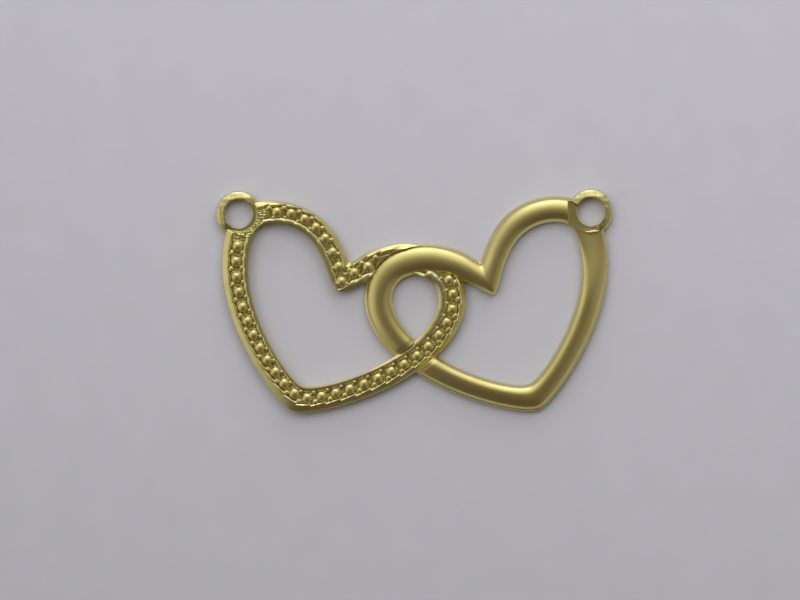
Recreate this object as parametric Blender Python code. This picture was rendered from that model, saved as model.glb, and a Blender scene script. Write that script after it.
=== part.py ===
# Double heart charm: a raw-brass connector made of two open hearts that pass over and
# under each other, one with a row of beads in a channel and one a smooth half-round
# band, with a punched eyelet on each outer shoulder.
#
# Units are metres. The charm lies on its flat back, +Z up. +X runs from the beaded
# heart to the plain one and +Y towards the eyelets. Where two pieces cross they are
# halved into each other, as lapped bars are, and brazed.

import bpy
import bmesh
from math import cos, hypot, pi, radians, sin
import numpy as np
from mathutils import Vector

# Layout of the two hearts
LEAN = 21.0                  # degrees that each heart leans outwards
CLEFT_SPACING = 0.01190      # between the outer corners of the two clefts
BRAZE_GAP = 0.0003           # left between two pieces wherever they meet

# Heart outline, in the heart's own frame: origin at the outer corner of its cleft,
# x away from its axis, y up. Its link side lies inside the other heart.
HEART_DROP = 0.01472         # cleft to tip, outside
HALF_WIDTH = 0.01143         # axis to the widest point, outside
SIDE_BAND = 0.00245          # width of the band at the widest point
CLEFT_BAND = 0.00353         # along the axis, at the cleft
TIP_BAND = 0.00249           # along the axis, at the tip
LINK_TOP = 0.00682           # axis to the crown of the link lobe
LINK_RISE = 0.00367          # cleft to that crown, outside
LINK_BAND = 0.00263          # width of the band at that crown
LINK_WIDEST = 0.00138        # how far below the cleft the link side is widest
EYELET_TOP = 0.00600         # axis to the crown of the eyelet lobe
EYELET_WINDOW_RISE = 0.00107 # cleft to that crown, inside
EYELET_WIDEST = 0.00071      # how far below the cleft the eyelet side is widest
BEADED_LOBE_BAND = 0.00198   # width of the band at that crown, beaded heart
PLAIN_LOBE_BAND = 0.00232    # the same, plain heart
BEADED_CLEFT_ROUND = 0.00062 # how much the inner corner of the cleft is rounded off
PLAIN_CLEFT_ROUND = 0.00015
CORNER_ROUND = 0.00010       # the same at every other corner of the outlines

# How each stretch of outline bends: directions in degrees, pulls as shares of a span
LINK_BEND = {"cleft_turn": 42.1, "cleft_pull": 0.39, "crown_in": 0.45, "crown_out": 0.55,
             "side_in": 0.55, "side_out": 0.46, "tip_turn": 16.0, "tip_pull": 0.19}
EYELET_BEND = {"cleft_turn": 47.2, "cleft_pull": 0.25, "crown_in": 0.54, "crown_out": 0.55,
               "side_in": 0.55, "side_out": 0.53, "tip_turn": 16.0, "tip_pull": 0.14}

# Section of the bands
BAND_HEIGHT = 0.00170        # crest of the plain band
PLAIN_EDGE = 0.00095         # upright edges of the plain band
PLAIN_LEDGE = 0.00012        # flat ledge between such an edge and the half-round
PLAIN_CREST = 0.4            # share of the plain band's width from its inner edge to its crest
RIM_HEIGHT = 0.00150         # rims of the beaded band's channel
OUTER_EDGE = 0.00110         # upright edge of the beaded band, outside
INNER_EDGE = 0.00134         # the same, inside
FLANK = 0.00050              # slope from either edge up to a rim, in plan
OUTER_KNEE = (0.4, 0.50)     # where the outer flank bends, as shares of its width and height
INNER_KNEE = (0.2, 0.90)     # the same for the inner flank
RIM = 0.00010                # flat top of each rim
CHANNEL_WALL = 0.00010       # slope of the channel's walls, in plan
CHANNEL_DEPTH = 0.00030

# Beads
BEAD_DIAMETER = 0.00096
BEAD_TOP = 0.00170           # above the flat back
BEAD_PITCH = 0.00137

# Eyelets
EYELET_RADIUS = 0.00205
EYELET_HOLE_RADIUS = 0.00129
EYELET_HEIGHT = 0.00135
EYELET_EDGE = 0.00100        # height of its upright edges, under the domed top
EYELET_INSET = 0.00049       # its centre, inwards from the heart's widest point
EYELET_RISE = 0.00045        # its centre, above the cleft

# Heights of the halved joints
LAP_HEIGHT = 0.00055         # top of the piece that passes under
EYELET_WEB = 0.00040         # what is left of the band under an eyelet

# How finely curves are drawn
CLEFT_STEPS = 15
CLEFT_CROWDING = 1.5         # how much closer the points lie towards the cleft
LOBE_STEPS = 16
SIDE_STEPS = 24
DOME_STEPS = 10
EYELET_STEPS = 40
BEAD_SEGMENTS = 12
BEAD_RINGS = 6
SMOOTH_ANGLE = 35            # edges that turn by fewer degrees are shaded smooth
CUT_MARGIN = 0.001           # how far a cutter runs past what it cuts
WELD_DISTANCE = 0.00001      # points left closer than this by a cut become one


# Outline curves

def bezier(start, leave, arrive, end, shares):
    """Points of a cubic curve at the given shares of its way, as rows of x and y."""
    t = np.asarray(shares)[:, None]
    return ((1 - t) ** 3 * start + 3 * (1 - t) ** 2 * t * leave
            + 3 * (1 - t) * t ** 2 * arrive + t ** 3 * end)


def half_outline(cleft, crown, side, tip, bend):
    """One side of a heart from cleft to tip: a lobe in two curves, then the long side."""
    cleft, crown, side, tip = (np.array(point) for point in (cleft, crown, side, tip))
    turn, rise = radians(bend["cleft_turn"]), radians(bend["tip_turn"])
    cleft_pull = bend["cleft_pull"] * hypot(*(crown - cleft))
    tip_pull = bend["tip_pull"] * hypot(*(side - tip))
    leave_cleft = cleft + cleft_pull * np.array((sin(turn), cos(turn)))
    arrive_tip = tip + tip_pull * np.array((cos(rise), sin(rise)))
    reach = crown[0] - cleft[0]
    over = side[0] - crown[0]
    lobe_drop = crown[1] - side[1]
    side_drop = side[1] - tip[1]
    crowded = (np.arange(CLEFT_STEPS) / CLEFT_STEPS) ** CLEFT_CROWDING
    even = np.arange(LOBE_STEPS) / LOBE_STEPS
    both_ends = (1 - np.cos(pi * np.arange(SIDE_STEPS + 1) / SIDE_STEPS)) / 2
    return np.vstack([
        bezier(cleft, leave_cleft, crown - (bend["crown_in"] * reach, 0), crown, crowded),
        bezier(crown, crown + (bend["crown_out"] * over, 0),
               side + (0, bend["side_in"] * lobe_drop), side, even),
        bezier(side, side - (0, bend["side_out"] * side_drop), arrive_tip, tip, both_ends),
    ])


def round_corner(half, end, lift):
    """Round the corner at one end of a half outline, where it meets its mirror image.

    The corner point rises by lift, and the rise fades away along the outline.
    """
    middle = len(half) // 2
    near, stretch = (1, slice(0, middle)) if end == 0 else (-2, slice(middle, None))
    slope = abs((half[near, 1] - half[end, 1]) / half[near, 0])
    rounded = half.copy()
    rounded[stretch, 1] += lift * np.exp(-slope * half[stretch, 0] / lift)
    return rounded


def band_halves(heart, side):
    """Outer and inner outline of one side of a heart's band, corners still sharp."""
    if side == "link":
        crown_x, widest, bend = LINK_TOP, LINK_WIDEST, LINK_BEND
        inner_rise = LINK_RISE - LINK_BAND
        outer_rise = LINK_RISE
    else:
        crown_x, widest, bend = EYELET_TOP, EYELET_WIDEST, EYELET_BEND
        inner_rise = EYELET_WINDOW_RISE
        outer_rise = EYELET_WINDOW_RISE + heart["lobe_band"]
    outer = half_outline((0, 0), (crown_x, outer_rise), (HALF_WIDTH, -widest),
                         (0, -HEART_DROP), bend)
    inner = half_outline((0, -CLEFT_BAND), (crown_x, inner_rise),
                         (HALF_WIDTH - SIDE_BAND, -widest),
                         (0, TIP_BAND - HEART_DROP), bend)
    return outer, inner


def band_lines(heart, share):
    """The closed line that runs round a heart at one share of its band's width.

    Share 0 is the inner edge and 1 the outer edge. The line starts at the cleft, goes
    down the link side to the tip and comes back up the eyelet side. The rounding of
    the corners is full at the edges and fades out at the middle of the band.
    """
    sides = []
    for side in ("link", "eyelet"):
        outer, inner = band_halves(heart, side)
        line = inner + share * (outer - inner)
        fade = abs(1 - 2 * min(max(share, 0), 1))
        cleft_round = heart["cleft_round"] if share < 0.5 else CORNER_ROUND
        if fade > 0:
            line = round_corner(line, 0, fade * cleft_round)
            line = round_corner(line, -1, fade * CORNER_ROUND)
        sides.append(line)
    link, eyelet = sides
    return np.vstack([link, eyelet[-2:0:-1] * (-1, 1)])


def place(heart, points):
    """Lean points of a heart's own frame outwards and move them to its cleft."""
    lean = radians(LEAN)
    x, y = points[:, 0], points[:, 1]
    placed_x = x * cos(lean) + y * sin(lean) - CLEFT_SPACING / 2
    placed_y = y * cos(lean) - x * sin(lean)
    return np.column_stack([heart["facing"] * placed_x, placed_y])


# The two hearts: facing is 1 where the link side points to +X

BEADED = {"facing": 1, "lobe_band": BEADED_LOBE_BAND, "cleft_round": BEADED_CLEFT_ROUND}
PLAIN = {"facing": -1, "lobe_band": PLAIN_LOBE_BAND, "cleft_round": PLAIN_CLEFT_ROUND}


def eyelet_centre(heart):
    """Where the eyelet of a heart sits, on its outer shoulder."""
    local = np.array([[-(HALF_WIDTH - EYELET_INSET), EYELET_RISE]])
    return place(heart, local)[0]


# Materials

def brass(name, colour, roughness):
    """Raw brass, worn bright where the charm is handled."""
    material = bpy.data.materials.new(name)
    material.use_nodes = True
    shader = material.node_tree.nodes["Principled BSDF"]
    shader.inputs["Base Color"].default_value = (*colour, 1)
    shader.inputs["Metallic"].default_value = 1.0
    shader.inputs["Roughness"].default_value = roughness
    material.diffuse_color = (*colour, 1)
    return material


# Mesh building

def add_object(name, mesh, material=None):
    thing = bpy.data.objects.new(name, mesh)
    bpy.context.scene.collection.objects.link(thing)
    if material:
        mesh.materials.append(material)
    return thing


def finish_mesh(shape, name, smooth_angle=None):
    """Turn a bmesh into a mesh whose faces point outwards."""
    bmesh.ops.recalc_face_normals(shape, faces=shape.faces)
    mesh = bpy.data.meshes.new(name)
    shape.to_mesh(mesh)
    shape.free()
    if smooth_angle:
        mesh.shade_smooth()
        mesh.set_sharp_from_angle(angle=radians(smooth_angle))
    return mesh


def band_mesh(heart, profile, name):
    """Carry a closed section round a heart.

    The section is a list of (share of the band's width, height), and each of its
    points draws one closed line round the heart.
    """
    shape = bmesh.new()
    loops = []
    for share, height in profile:
        line = place(heart, band_lines(heart, share))
        loops.append([shape.verts.new((x, y, height)) for x, y in line])
    for lower, upper in zip(loops, loops[1:] + loops[:1]):
        for k in range(len(lower)):
            after = (k + 1) % len(lower)
            shape.faces.new((lower[k], lower[after], upper[after], upper[k]))
    return finish_mesh(shape, name, smooth_angle=SMOOTH_ANGLE)


def plain_profile():
    """Half-round band on a flat back, with a narrow ledge along both edges.

    The inner side of the half-round is the steeper one.
    """
    ledge = PLAIN_LEDGE / SIDE_BAND
    rise = BAND_HEIGHT - PLAIN_EDGE
    profile = [(0, 0), (0, PLAIN_EDGE)]
    for k in range(DOME_STEPS + 1):
        angle = pi * k / DOME_STEPS
        reach = PLAIN_CREST - ledge if k < DOME_STEPS / 2 else 1 - ledge - PLAIN_CREST
        profile.append((PLAIN_CREST - reach * cos(angle), PLAIN_EDGE + rise * sin(angle)))
    return profile + [(1, PLAIN_EDGE), (1, 0)]


def rim_profile(edge, knee):
    """Half of a channelled band: its edge, bent flank and rim, and down to the floor."""
    across, up = knee
    points = [(0, 0), (0, edge),
              (FLANK * across, edge + up * (RIM_HEIGHT - edge)),
              (FLANK, RIM_HEIGHT), (FLANK + RIM, RIM_HEIGHT),
              (FLANK + RIM + CHANNEL_WALL, RIM_HEIGHT - CHANNEL_DEPTH)]
    return [(width / SIDE_BAND, height) for width, height in points]


def beaded_profile():
    """Channelled band: a flank and a rim on each side, and a sunk floor between them."""
    outer = [(1 - share, height) for share, height in rim_profile(OUTER_EDGE, OUTER_KNEE)]
    return rim_profile(INNER_EDGE, INNER_KNEE) + outer[::-1]


# Cutters and other tools that never show

def tool_object(name, mesh):
    tool = add_object(name, mesh)
    tool.hide_render = True
    tool.display_type = "WIRE"
    return tool


def band_block(name, heart, stretch, bottom, top):
    """A block over a stretch of a heart's band, wider than the band by the gap.

    The stretch is round, the whole heart, or on the link side lobe, from the cleft to
    the widest point, or side, from there to the tip.
    """
    turn = CLEFT_STEPS + LOBE_STEPS
    parts = {"round": slice(None), "lobe": slice(0, turn + 1),
             "side": slice(turn, turn + SIDE_STEPS + 1)}
    grow = BRAZE_GAP / SIDE_BAND
    shape = bmesh.new()
    edges = []
    for share in (-grow, 1 + grow):
        line = place(heart, band_lines(heart, share))[parts[stretch]]
        edges.append([shape.verts.new((x, y, bottom)) for x, y in line])
    inner, outer = edges
    count = len(inner) if stretch == "round" else len(inner) - 1
    faces = []
    for k in range(count):
        after = (k + 1) % len(inner)
        faces.append(shape.faces.new((inner[k], inner[after], outer[after], outer[k])))
    raised = bmesh.ops.extrude_face_region(shape, geom=faces)
    lifted = [item for item in raised["geom"] if isinstance(item, bmesh.types.BMVert)]
    bmesh.ops.translate(shape, verts=lifted, vec=Vector((0, 0, top - bottom)))
    return tool_object(name, finish_mesh(shape, name))


def disc_tool(name, centre, radius, bottom, top):
    """A round cutter that stands over an eyelet's centre."""
    shape = bmesh.new()
    bmesh.ops.create_cone(shape, cap_ends=True, segments=EYELET_STEPS,
                          radius1=radius, radius2=radius, depth=top - bottom)
    bmesh.ops.translate(shape, verts=shape.verts,
                        vec=Vector((*centre, (bottom + top) / 2)))
    return tool_object(name, finish_mesh(shape, name))


def bead_places(heart):
    """Bead centres, evenly spaced along the middle of the band.

    One bead sits in the corner of the cleft, and the tip falls between two.
    """
    line = band_lines(heart, 0.5)
    tip = CLEFT_STEPS + LOBE_STEPS + SIDE_STEPS
    closed = np.vstack([line, line[:1]])
    places = [line[0]]
    for half in (closed[:tip + 1], closed[:tip - 1:-1]):
        steps = np.hypot(*np.diff(half, axis=0).T)
        travelled = np.concatenate([[0], np.cumsum(steps)])
        count = round(travelled[-1] / BEAD_PITCH - 0.5)
        pitch = travelled[-1] / (count + 0.5)
        stops = pitch * np.arange(1, count + 1)
        x = np.interp(stops, travelled, half[:, 0])
        y = np.interp(stops, travelled, half[:, 1])
        places.extend(np.column_stack([x, y]))
    return place(heart, np.array(places))


def bead_tool(name, heart):
    """All the beads of a heart, as balls half sunk in the floor of its channel."""
    shape = bmesh.new()
    radius = BEAD_DIAMETER / 2
    for x, y in bead_places(heart):
        ball = bmesh.ops.create_uvsphere(shape, u_segments=BEAD_SEGMENTS,
                                         v_segments=BEAD_RINGS, radius=radius)
        bmesh.ops.translate(shape, verts=ball["verts"],
                            vec=Vector((x, y, BEAD_TOP - radius)))
    return tool_object(name, finish_mesh(shape, name))


def combine(target, operation, tool):
    """Add one Boolean step to an object."""
    step = target.modifiers.new(tool.name, "BOOLEAN")
    step.operation = operation
    step.object = tool


def weld(target):
    """Close the hair-thin slivers that cuts leave where two edges nearly meet."""
    step = target.modifiers.new("weld", "WELD")
    step.merge_threshold = WELD_DISTANCE


# Pieces

def seat_eyelet(frame, heart, name):
    """Sink the seat of an eyelet in a heart's shoulder and bore through what is left."""
    centre = eyelet_centre(heart)
    seat = disc_tool(name + "_seat", centre, EYELET_RADIUS + BRAZE_GAP,
                     EYELET_WEB, BAND_HEIGHT + CUT_MARGIN)
    bore = disc_tool(name + "_bore", centre, EYELET_HOLE_RADIUS + BRAZE_GAP,
                     -CUT_MARGIN, BAND_HEIGHT + CUT_MARGIN)
    combine(frame, "DIFFERENCE", seat)
    combine(frame, "DIFFERENCE", bore)


def halve(frame, other, stretch, passes, name):
    """Cut a heart where the other crosses it: away below if it passes over, else above."""
    if passes == "over":
        bottom, top = -CUT_MARGIN, LAP_HEIGHT + BRAZE_GAP
    else:
        bottom, top = LAP_HEIGHT, BAND_HEIGHT + CUT_MARGIN
    combine(frame, "DIFFERENCE", band_block(name, other, stretch, bottom, top))


def make_beaded_heart(material):
    frame = add_object("beaded_heart", band_mesh(BEADED, beaded_profile(), "beaded_heart"),
                       material)
    combine(frame, "UNION", bead_tool("bead_row", BEADED))
    seat_eyelet(frame, BEADED, "beaded_heart_eyelet")
    halve(frame, PLAIN, "lobe", "under", "plain_lobe_over_beaded")
    halve(frame, PLAIN, "side", "over", "plain_side_under_beaded")
    weld(frame)
    return frame


def make_plain_heart(material):
    frame = add_object("plain_heart", band_mesh(PLAIN, plain_profile(), "plain_heart"),
                       material)
    seat_eyelet(frame, PLAIN, "plain_heart_eyelet")
    halve(frame, BEADED, "lobe", "over", "beaded_lobe_under_plain")
    halve(frame, BEADED, "side", "under", "beaded_side_over_plain")
    weld(frame)
    return frame


def make_eyelet(name, heart, material):
    """A domed ring, turned from its section and stepped over the heart's shoulder."""
    centre = eyelet_centre(heart)
    width = EYELET_RADIUS - EYELET_HOLE_RADIUS
    section = [(EYELET_HOLE_RADIUS, 0), (EYELET_RADIUS, 0)]
    for k in range(DOME_STEPS // 2 + 1):
        angle = pi * k / (DOME_STEPS // 2)
        section.append((EYELET_HOLE_RADIUS + width * (1 + cos(angle)) / 2,
                        EYELET_EDGE + (EYELET_HEIGHT - EYELET_EDGE) * sin(angle)))
    shape = bmesh.new()
    verts = [shape.verts.new((centre[0] + r, centre[1], z)) for r, z in section]
    edges = [shape.edges.new(pair) for pair in zip(verts, verts[1:] + verts[:1])]
    bmesh.ops.spin(shape, geom=verts + edges, cent=(*centre, 0), axis=(0, 0, 1),
                   angle=2 * pi, steps=EYELET_STEPS, use_merge=True)
    ring = add_object(name, finish_mesh(shape, name, smooth_angle=SMOOTH_ANGLE), material)
    step = band_block(name + "_step", heart, "round", -CUT_MARGIN, EYELET_WEB + BRAZE_GAP)
    combine(ring, "DIFFERENCE", step)
    weld(ring)
    return ring


def centre_on_origin():
    """Parent everything to an empty that puts the middle of the charm on the origin."""
    lowest = place(BEADED, band_lines(BEADED, 1))[:, 1].min()
    highest = eyelet_centre(BEADED)[1] + EYELET_RADIUS
    charm = bpy.data.objects.new("charm", None)
    bpy.context.scene.collection.objects.link(charm)
    for thing in list(bpy.context.scene.objects):
        if thing is not charm:
            thing.parent = charm
    charm.location.y = -(lowest + highest) / 2


def main():
    for old in list(bpy.data.objects):
        bpy.data.objects.remove(old, do_unlink=True)
    make_beaded_heart(brass("beaded_brass", (0.66, 0.58, 0.27), 0.34))
    make_plain_heart(brass("plain_brass", (0.68, 0.60, 0.28), 0.30))
    for name, heart in (("beaded_heart_eyelet", BEADED), ("plain_heart_eyelet", PLAIN)):
        make_eyelet(name, heart, brass(name + "_brass", (0.70, 0.62, 0.30), 0.38))
    centre_on_origin()


main()
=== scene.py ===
# %% [markdown]
# # Double heart charm
#
# A raw-brass connector charm, 36 mm across: two open hearts that lap over and under each
# other. One holds a row of beads in a struck channel, the other is a smooth half-round
# band, and a punched eyelet sits on each outer shoulder. The imported solids give every
# size and place. This lesson dresses them with finer surfaces, each worked out as whole
# numpy arrays on a grid, and with brass that has grain, shade painted into its recesses,
# and rims painted paler, partly as rubbed wear and partly as highlight.
#
# Everything below works in metres, and MM turns a size in millimetres into metres.

# %% Load the frame
from math import cos, pi, radians, sin, tau
import bpy
import numpy as np
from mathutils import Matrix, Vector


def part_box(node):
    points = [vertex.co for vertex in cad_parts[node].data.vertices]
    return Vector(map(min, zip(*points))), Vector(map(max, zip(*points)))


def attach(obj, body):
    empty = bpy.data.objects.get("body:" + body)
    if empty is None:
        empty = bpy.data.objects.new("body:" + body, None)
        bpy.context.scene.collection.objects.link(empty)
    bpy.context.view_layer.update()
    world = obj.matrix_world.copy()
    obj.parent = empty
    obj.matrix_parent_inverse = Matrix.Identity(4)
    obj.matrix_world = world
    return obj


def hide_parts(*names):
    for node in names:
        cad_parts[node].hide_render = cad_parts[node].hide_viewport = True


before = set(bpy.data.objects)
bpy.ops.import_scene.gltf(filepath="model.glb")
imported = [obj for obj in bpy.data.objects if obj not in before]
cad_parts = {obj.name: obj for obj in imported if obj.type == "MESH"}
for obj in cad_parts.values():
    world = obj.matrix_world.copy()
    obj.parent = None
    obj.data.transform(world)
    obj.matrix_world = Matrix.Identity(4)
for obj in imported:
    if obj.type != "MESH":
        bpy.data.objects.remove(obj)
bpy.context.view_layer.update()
MM = 0.001
print("solids:", sorted(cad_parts))

# %% [markdown]
# ## The outline of a heart
#
# Both hearts have one outline, mirrored: three smooth curves on each side, from the notch
# at the top (the cleft) over the crown of a lobe, out to the widest point and down to the
# tip. One could trace many points, but a few sizes and bend values give a cleaner curve
# that can be drawn as finely as the surface needs. The link side is the lobe that lies
# inside the other heart, and the eyelet side carries the ring.
#
# A "turn" is the angle in degrees at which a curve leaves a corner, and a "pull" is the
# length of its handle as a share of the straight way to the next point.

# %% Sizes of the hearts, the same as the solids have
LEAN = radians(21.0)
CLEFT_SPACING = 11.90 * MM
HEART_DROP = 14.72 * MM
HALF_WIDTH = 11.43 * MM
SIDE_BAND = 2.45 * MM
CLEFT_BAND = 3.53 * MM
TIP_BAND = 2.49 * MM
BAND_HEIGHT = 1.70 * MM
EYELET_INSET = 0.49 * MM
EYELET_RISE = 0.45 * MM

LINK = {"crown": 6.82 * MM, "inner_rise": 1.04 * MM, "widest": 1.38 * MM,
        "cleft_turn": 42.1, "cleft_pull": 0.39, "crown_in": 0.45, "crown_out": 0.55,
        "side_in": 0.55, "side_out": 0.46, "tip_turn": 16.0, "tip_pull": 0.19}
EYELET = {"crown": 6.00 * MM, "inner_rise": 1.07 * MM, "widest": 0.71 * MM,
          "cleft_turn": 47.2, "cleft_pull": 0.25, "crown_in": 0.54, "crown_out": 0.55,
          "side_in": 0.55, "side_out": 0.53, "tip_turn": 16.0, "tip_pull": 0.14}
BEADED = {"facing": 1, "link_band": 2.63 * MM, "eyelet_band": 1.98 * MM,
          "cleft_round": 0.62 * MM, "corner_round": 0.14 * MM}
PLAIN = {"facing": -1, "link_band": 2.63 * MM, "eyelet_band": 2.32 * MM,
         "cleft_round": 0.15 * MM, "corner_round": 0.14 * MM}
print("each heart is", round(2 * HALF_WIDTH / MM, 2), "mm wide before it leans")

# %% [markdown]
# Each heart is drawn upright round its own cleft, leaned outwards and moved to its place.
# The beaded heart is on the left; the plain one is the same drawing mirrored. One could
# turn two objects in the viewport, but turned points let each heart ask where the other
# one lies. The eyelet's box in the frame tells how far up the clefts lie, so the hearts
# land on their solids without any fitting.

# %% Place a heart
ring_low, ring_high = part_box("beaded_heart_eyelet")
RING_Y = (ring_low.y + ring_high.y) / 2
EYELET_OUT = HALF_WIDTH - EYELET_INSET
CLEFT_Y = RING_Y - (EYELET_RISE * cos(LEAN) + EYELET_OUT * sin(LEAN))


def place(heart, points):
    """Lean points of a heart's own frame outwards and move them to its cleft."""
    x = points[..., 0] * cos(LEAN) + points[..., 1] * sin(LEAN) - CLEFT_SPACING / 2
    y = points[..., 1] * cos(LEAN) - points[..., 0] * sin(LEAN) + CLEFT_Y
    return np.stack([heart["facing"] * x, y], axis=-1)


def ring_centre(heart):
    """Middle of a heart's punched hole, in place."""
    return place(heart, np.array([-EYELET_OUT, EYELET_RISE]))


print("eyelets at", ring_centre(BEADED) / MM, ring_centre(PLAIN) / MM)

# %% [markdown]
# A band has an outer and an inner edge. A Bezier curve object could draw them, but its
# points are hard to pair across the band; the same cubic formula worked out here gives
# both edges equally many points, so that point k of one faces point k of the other. A
# real punch has no knife-sharp corners, so the cleft and the tip are rounded a little.

# %% Draw the edges of a band
CURVE_STEPS = 500
SLOPE_POINTS = 3


def cubic(start, leave, arrive, end):
    """Cubic curve: four points weighed by (1-t)^3, 3(1-t)^2 t, 3(1-t) t^2 and t^3."""
    t = np.linspace(0, 1, CURVE_STEPS)[:, None]
    start, leave, arrive, end = map(np.array, (start, leave, arrive, end))
    return ((1 - t) ** 3 * start + 3 * (1 - t) ** 2 * t * leave
            + 3 * (1 - t) * t ** 2 * arrive + t ** 3 * end)


def half_outline(cleft_y, crown_rise, half_width, tip_y, side):
    """One edge from cleft to tip: cleft to crown, crown to widest, widest to tip."""
    cleft, tip = np.array((0, cleft_y)), np.array((0, tip_y))
    crown = np.array((side["crown"], crown_rise))
    widest = np.array((half_width, -side["widest"]))
    turn, rise = radians(side["cleft_turn"]), radians(side["tip_turn"])
    leave = side["cleft_pull"] * np.linalg.norm(crown - cleft) * np.array((sin(turn), cos(turn)))
    arrive = side["tip_pull"] * np.linalg.norm(widest - tip) * np.array((cos(rise), sin(rise)))
    reach, over = crown[0], widest[0] - crown[0]
    lobe_drop, side_drop = crown[1] - widest[1], widest[1] - tip[1]
    stretches = [
        cubic(cleft, cleft + leave, crown - (side["crown_in"] * reach, 0), crown),
        cubic(crown, crown + (side["crown_out"] * over, 0),
              widest + (0, side["side_in"] * lobe_drop), widest)[1:],
        cubic(widest, widest - (0, side["side_out"] * side_drop), tip + arrive, tip)[1:],
    ]
    return np.concatenate(stretches)


def soften(edge, end, lift):
    """Round a corner: its point rises by lift, and the rise fades as exp(-slope x / lift)."""
    near = SLOPE_POINTS if end == 0 else -1 - SLOPE_POINTS
    slope = abs((edge[near, 1] - edge[end, 1]) / edge[near, 0])
    half = slice(0, len(edge) // 2) if end == 0 else slice(len(edge) // 2, None)
    softened = edge.copy()
    softened[half, 1] += lift * np.exp(-slope * edge[half, 0] / lift)
    return softened


def band_edges(heart, side_name):
    """Outer and inner edge of one side of a heart; row k of one faces row k of the other."""
    side = LINK if side_name == "link" else EYELET
    outer_rise = side["inner_rise"] + heart[side_name + "_band"]
    outer = half_outline(0, outer_rise, HALF_WIDTH, -HEART_DROP, side)
    inner = half_outline(-CLEFT_BAND, side["inner_rise"], HALF_WIDTH - SIDE_BAND,
                         TIP_BAND - HEART_DROP, side)
    outer = soften(soften(outer, 0, heart["corner_round"]), -1, heart["corner_round"])
    inner = soften(soften(inner, 0, heart["cleft_round"]), -1, heart["corner_round"])
    return outer, inner


print("points on one side's edge:", len(band_edges(BEADED, "link")[0]))

# %% [markdown]
# ## Rails for the surface
#
# A surface grid looks even when its rows are evenly spaced, so each side is stepped off
# along the middle of its band. One could leave the curve's own points, but they crowd
# where it bends, and smooth shading then shows bands. The step is a share of the bead
# pitch, which lets a row's number tell how many beads lie behind it.

# %% Step off the band
BEAD_PITCH = 1.37 * MM
ROWS_PER_BEAD = 30


def spaced(outer, inner):
    """Space both edges evenly along the way travelled by the middle of the band."""
    middle = (outer + inner) / 2
    way = np.concatenate([[0], np.cumsum(np.hypot(*np.diff(middle, axis=0).T))])
    beads = round(way[-1] / BEAD_PITCH - 0.5)
    stops = np.linspace(0, way[-1], round(ROWS_PER_BEAD * (beads + 0.5)) + 1)
    outer = np.column_stack([np.interp(stops, way, outer[:, k]) for k in (0, 1)])
    inner = np.column_stack([np.interp(stops, way, inner[:, k]) for k in (0, 1)])
    return outer, inner


def heart_rails(heart):
    """Outer and inner rail all round a heart, in place.

    The rows go from the cleft down the link side to the tip and back up the eyelet side.
    """
    outer, inner = spaced(*band_edges(heart, "link"))
    back_outer, back_inner = spaced(*band_edges(heart, "eyelet"))
    flip = np.array((-1, 1))
    return {"outer": place(heart, np.concatenate([outer, back_outer[-2:0:-1] * flip])),
            "inner": place(heart, np.concatenate([inner, back_inner[-2:0:-1] * flip]))}


BEADED_RAILS, PLAIN_RAILS = heart_rails(BEADED), heart_rails(PLAIN)
print("rows round each heart:", len(BEADED_RAILS["outer"]), len(PLAIN_RAILS["outer"]))

# %% [markdown]
# ## Where the hearts cross
#
# The hearts are halved into each other, so a surface must know how deep a point lies
# inside the other heart's band. A Boolean modifier could cut the laps, but it leaves long
# thin faces that shade badly. The nearest point of each rail and the direction straight
# off that rail give a signed distance, and the smaller of the two is the depth. Points are
# measured some thousands at once, which keeps the memory small.

# %% Measure depth inside a band
CROSSING_REACH = 9 * MM
BETWEEN_CROSSINGS = -1 * MM
POINTS_AT_ONCE = 4000
FAR_OUTSIDE = -1.0


def distance_past(rail, off, points):
    """Signed distance of points past a rail: (p - nearest) . normal, positive towards off."""
    along = np.roll(rail, -1, axis=0) - np.roll(rail, 1, axis=0)
    normal = np.column_stack([along[:, 1], -along[:, 0]]) / np.hypot(*along.T)[:, None]
    normal *= np.sign(np.sum(normal * off, axis=1))[:, None]
    past = np.empty(len(points))
    for part in np.array_split(np.arange(len(points)), len(points) // POINTS_AT_ONCE + 1):
        gap = points[part, None] - rail[None]
        nearest = np.einsum("prk,prk->pr", gap, gap).argmin(axis=1)
        past[part] = np.sum((points[part] - rail[nearest]) * normal[nearest], axis=1)
    return past


def depth_inside(points, rails):
    """How far each point lies inside a band, in metres; negative outside it."""
    flat = points.reshape(-1, 2)
    depth = np.full(len(flat), FAR_OUTSIDE)
    near = np.abs(flat[:, 0]) < CROSSING_REACH
    off = rails["outer"] - rails["inner"]
    depth[near] = np.minimum(-distance_past(rails["outer"], off, flat[near]),
                             distance_past(rails["inner"], off, flat[near]))
    return depth.reshape(points.shape[:-1])


def smooth_step(low, high, value):
    """0 below low, 1 above high and 3t^2 - 2t^3 between."""
    t = np.clip((value - low) / (high - low), 0, 1)
    return t * t * (3 - 2 * t)


deepest = depth_inside(BEADED_RAILS["inner"], PLAIN_RAILS).max()
print("the beaded heart's inner rail lies up to", round(deepest / MM, 2), "mm inside the plain band")

# %% [markdown]
# ## Skins
#
# Every band and ring here closes on itself both ways, like a tyre. A bevelled curve would
# make such a tube too, but with the same section all the way, and these sections change
# from row to row. One helper turns a grid of points into such a skin, and flips it where
# its volume comes out negative, so that all faces point outwards. Extra values, such as
# how deep in a recess a point lies, go along as attributes that the brass reads.

# %% Make a closed skin
def skin_faces(rows, columns):
    """Quads of a grid that wraps both ways: each joins (i, j) to (i+1, j), (i+1, j+1), (i, j+1)."""
    index = np.arange(rows * columns).reshape(rows, columns)
    after = np.roll(index, -1, axis=0)
    corners = [index, after, np.roll(after, -1, axis=1), np.roll(index, -1, axis=1)]
    return np.stack(corners, axis=-1).reshape(-1, 4)


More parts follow.
